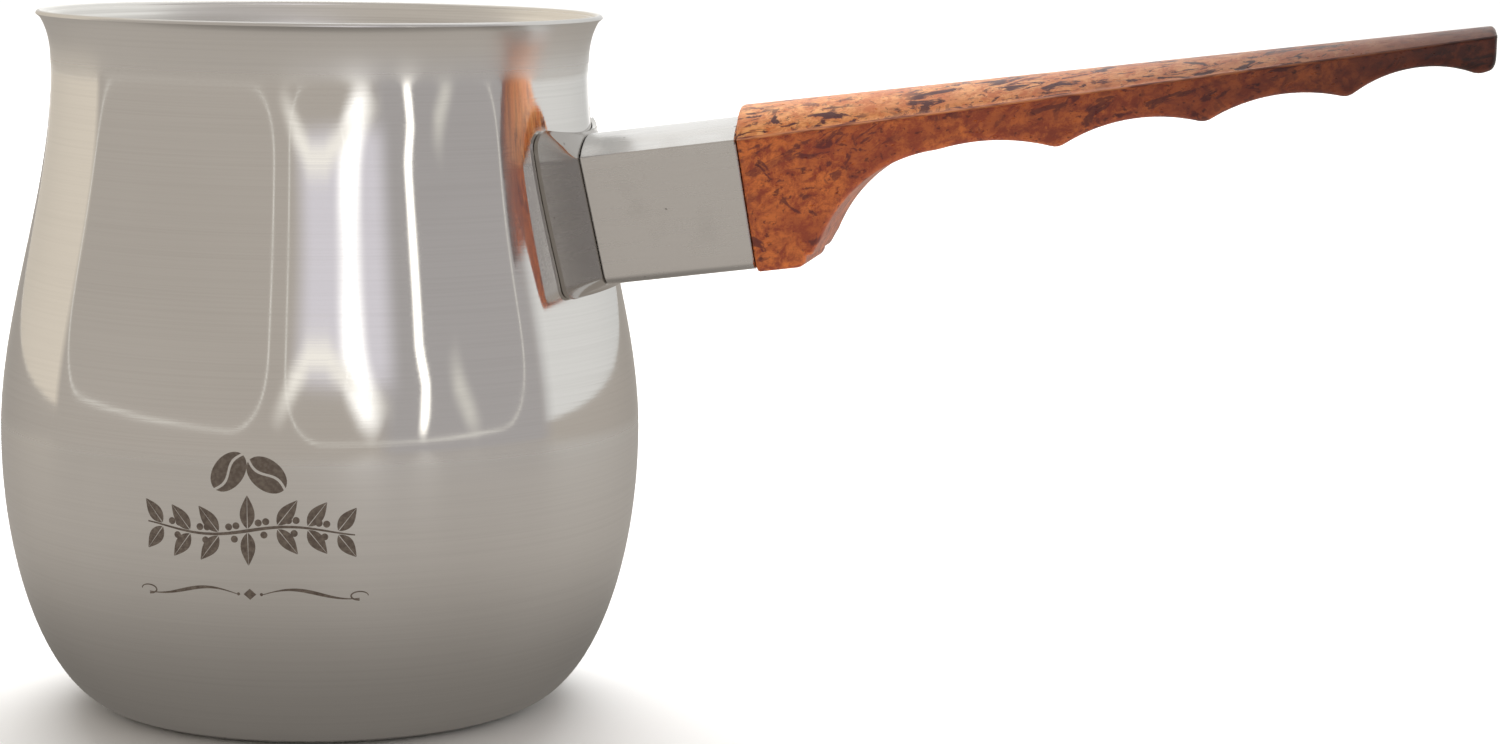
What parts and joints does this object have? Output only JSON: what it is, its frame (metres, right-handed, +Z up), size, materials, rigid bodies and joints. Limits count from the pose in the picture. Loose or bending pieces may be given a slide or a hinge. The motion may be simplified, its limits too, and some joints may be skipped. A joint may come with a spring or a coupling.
{
  "type": "turkish coffee pot",
  "caption": "Round-bellied steel coffee pot with a flared lip and a moulded side grip held by a ferrule and a welded saddle bracket.",
  "frame": {"origin": "centre of the flat base, on the surface the pot stands on", "axes": "+Z up along the pot's axis, +X towards the handle, XZ is the plane of symmetry"},
  "size_m": [0.2292, 0.1, 0.1102],
  "materials": {
    "pot_steel": "polished above, satin towards the base",
    "bracket_steel": "polished",
    "guard_steel": "satin sides, polished crown",
    "fixing_steel": "plain zinc grey",
    "insert_brass": "turned and knurled",
    "grip_bakelite": "glossy burl-wood print over moulded bakelite"
  },
  "bodies": {
    "root": {"pot_body": "pot_steel", "handle_bracket": "bracket_steel", "weld_stud": "fixing_steel", "flame_guard": "guard_steel", "spring_washer": "fixing_steel", "clamp_nut": "fixing_steel", "grip_insert": "insert_brass", "handle_grip": "grip_bakelite"}
  },
  "joints": []
}
